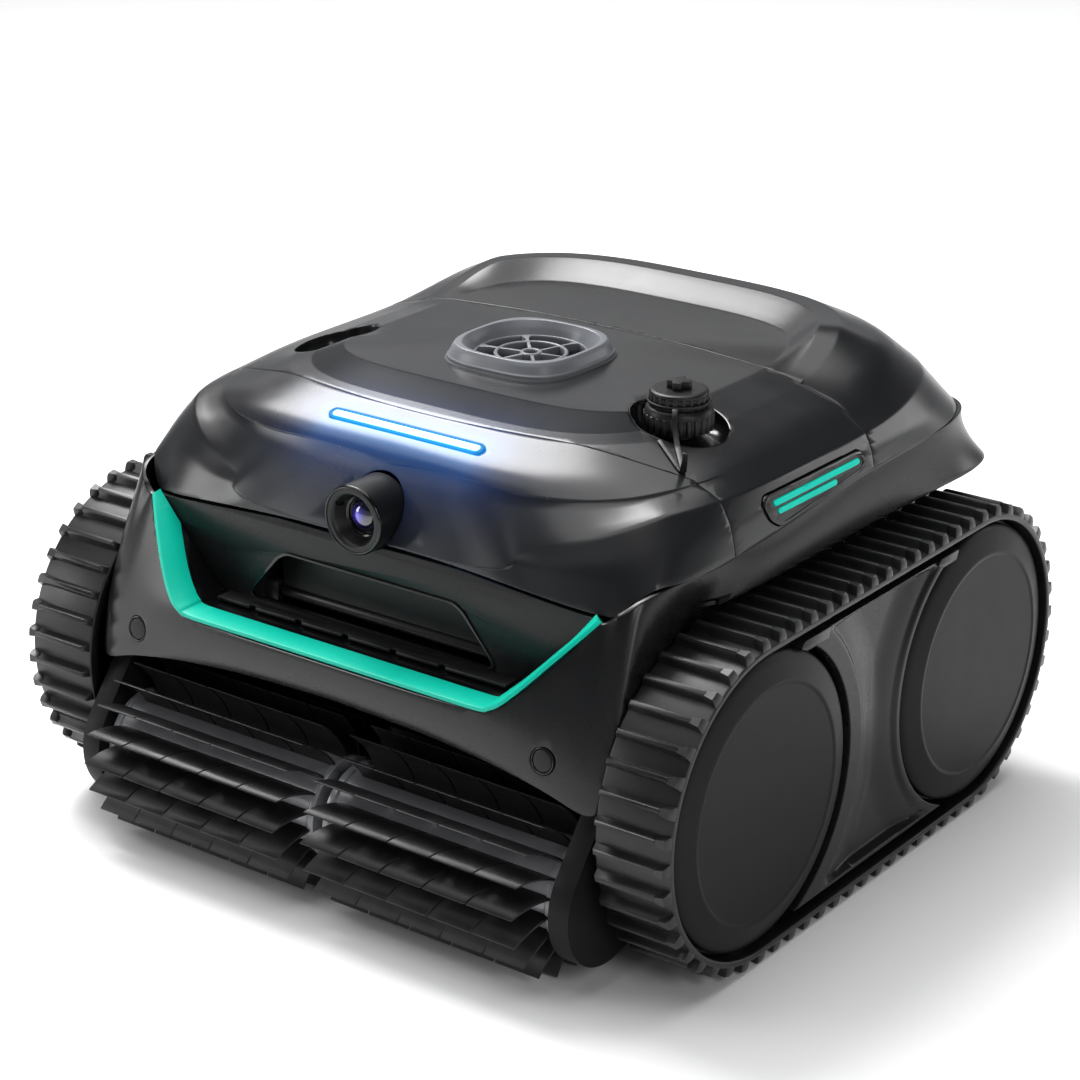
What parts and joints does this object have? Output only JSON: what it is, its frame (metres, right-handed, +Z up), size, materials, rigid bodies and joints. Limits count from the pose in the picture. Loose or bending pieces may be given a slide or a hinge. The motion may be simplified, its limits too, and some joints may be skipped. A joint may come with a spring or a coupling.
{
  "type": "robotic pool cleaner",
  "caption": "Cordless tracked pool cleaner with front brush rollers, top water outlet, rear basket lid, front intake window, camera and light bar.",
  "frame": {"origin": "on the ground under the middle of the whole cleaner", "axes": "+Z up; the brush end is the front and faces -Y; +X is to the right of someone looking along +Y at the front"},
  "size_m": [0.4308, 0.423, 0.2745],
  "materials": {
    "graphite_plastic": "satin moulded, dark graphite",
    "dark_plastic": "satin moulded, near black",
    "black_plastic": "matte moulded black",
    "track_rubber": "moulded rubber",
    "brush_rubber": "soft brush rubber",
    "grey_plastic": "mid-grey moulded",
    "teal_plastic": "satin teal",
    "light_bar": "lit diffuser",
    "lens_glass": "coated lens",
    "steel": "ground steel",
    "pump_plastic": "glass-filled plastic"
  },
  "bodies": {
    "chassis": {"badge_light_left": "teal_plastic", "badge_light_right": "teal_plastic", "badge_panel_left": "black_plastic", "badge_panel_right": "black_plastic", "battery_pack": "grey_plastic", "brush_bracket": "black_plastic", "camera_housing": "black_plastic", "camera_lens": "lens_glass", "cap_tether": "track_rubber", "control_box": "pump_plastic", "drive_motor_left": "pump_plastic", "drive_motor_right": "pump_plastic", "front_visor": "graphite_plastic", "gear_cover_left": "black_plastic", "gear_cover_right": "black_plastic", "intake_box": "black_plastic", "intake_surround": "black_plastic", "led_lens": "light_bar", "lid_hinge_pin": "steel", "lower_shell": "dark_plastic", "mid_cover": "graphite_plastic", "pillar_plug_left": "black_plastic", "pillar_plug_right": "black_plastic", "pump_duct": "pump_plastic", "pump_motor": "pump_plastic", "rear_axle_left": "steel", "rear_axle_right": "steel", "recess_cup_left": "graphite_plastic", "recess_cup_right": "graphite_plastic", "side_frame_left": "dark_plastic", "side_frame_right": "dark_plastic", "suction_duct": "pump_plastic", "teal_trim": "teal_plastic", "track_left": "track_rubber", "track_right": "track_rubber", "vent_grille": "grey_plastic", "vent_ring": "grey_plastic"},
    "drive_right": {"front_wheel_right": "black_plastic", "front_disc_right": "black_plastic", "drive_gear_right": "grey_plastic"},
    "drive_left": {"front_wheel_left": "black_plastic", "front_disc_left": "black_plastic", "drive_gear_left": "grey_plastic"},
    "rear_wheel_set_right": {"rear_wheel_right": "black_plastic", "rear_disc_right": "black_plastic"},
    "rear_wheel_set_left": {"rear_wheel_left": "black_plastic", "rear_disc_left": "black_plastic"},
    "brush_right": {"brush_roller_right": "brush_rubber", "brush_gear_right": "grey_plastic"},
    "brush_left": {"brush_roller_left": "brush_rubber", "brush_gear_left": "grey_plastic"},
    "impeller": {"impeller": "grey_plastic"},
    "rear_lid": {"rear_lid": "graphite_plastic"},
    "filter_basket": {"filter_basket": "grey_plastic"},
    "basket_flap": {"basket_flap": "teal_plastic"},
    "front_flap": {"front_flap": "black_plastic"},
    "charge_cap": {"charge_cap": "black_plastic"},
    "power_button": {"power_button": "black_plastic"}
  },
  "joints": [
    {"name": "drive_right_spin", "type": "hinge", "parent": "chassis", "child": "drive_right", "pos_m": [0.192, -0.0985, 0.09], "axis": [1, 0, 0], "continuous": true},
    {"name": "rear_wheel_right_spin", "type": "hinge", "parent": "chassis", "child": "rear_wheel_set_right", "pos_m": [0.192, 0.1155, 0.09], "axis": [1, 0, 0], "continuous": true},
    {"name": "brush_right_spin", "type": "hinge", "parent": "chassis", "child": "brush_right", "pos_m": [0.077, -0.1635, 0.048], "axis": [1, 0, 0], "continuous": true},
    {"name": "drive_left_spin", "type": "hinge", "parent": "chassis", "child": "drive_left", "pos_m": [-0.192, -0.0985, 0.09], "axis": [1, 0, 0], "continuous": true},
    {"name": "rear_wheel_left_spin", "type": "hinge", "parent": "chassis", "child": "rear_wheel_set_left", "pos_m": [-0.192, 0.1155, 0.09], "axis": [1, 0, 0], "continuous": true},
    {"name": "brush_left_spin", "type": "hinge", "parent": "chassis", "child": "brush_left", "pos_m": [-0.077, -0.1635, 0.048], "axis": [1, 0, 0], "continuous": true},
    {"name": "impeller_spin", "type": "hinge", "parent": "chassis", "child": "impeller", "pos_m": [0, -0.008, 0.216], "axis": [0, 0, 1], "continuous": true},
    {"name": "lid_open", "type": "hinge", "parent": "chassis", "child": "rear_lid", "pos_m": [0, 0.2075, 0.211], "axis": [-1, 0, 0], "range_deg": [0, 75]},
    {"name": "basket_lift", "type": "slide", "parent": "chassis", "child": "filter_basket", "axis": [0, 0, 1], "range_m": [0, 0.066]},
    {"name": "basket_flap_swing", "type": "hinge", "parent": "filter_basket", "child": "basket_flap", "pos_m": [0, 0.125, 0.081], "axis": [-1, 0, 0], "range_deg": [0, 60]},
    {"name": "front_flap_swing", "type": "hinge", "parent": "chassis", "child": "front_flap", "pos_m": [0, -0.1315, 0.145], "axis": [-1, 0, 0], "range_deg": [0, 30], "stiffness_Nm_per_rad": 0.02, "springref_deg": -17.19},
    {"name": "cap_turn", "type": "hinge", "parent": "chassis", "child": "charge_cap", "pos_m": [0.115, -0.0355, 0.256], "axis": [0, 0, 1], "range_deg": [0, 360]},
    {"name": "button_press", "type": "slide", "parent": "chassis", "child": "power_button", "axis": [0, 0, -1], "range_m": [0, 0.0015], "stiffness_N_per_m": 600, "springref_m": -0.001}
  ],
  "couplings": [
    {"joint": "rear_wheel_right_spin", "follows": "drive_right_spin", "ratio": 1},
    {"joint": "brush_right_spin", "follows": "drive_right_spin", "ratio": -1.8667},
    {"joint": "rear_wheel_left_spin", "follows": "drive_left_spin", "ratio": 1},
    {"joint": "brush_left_spin", "follows": "drive_left_spin", "ratio": -1.8667},
    {"joint": "basket_lift", "follows": "lid_open", "m_per_rad": 0.05}
  ]
}
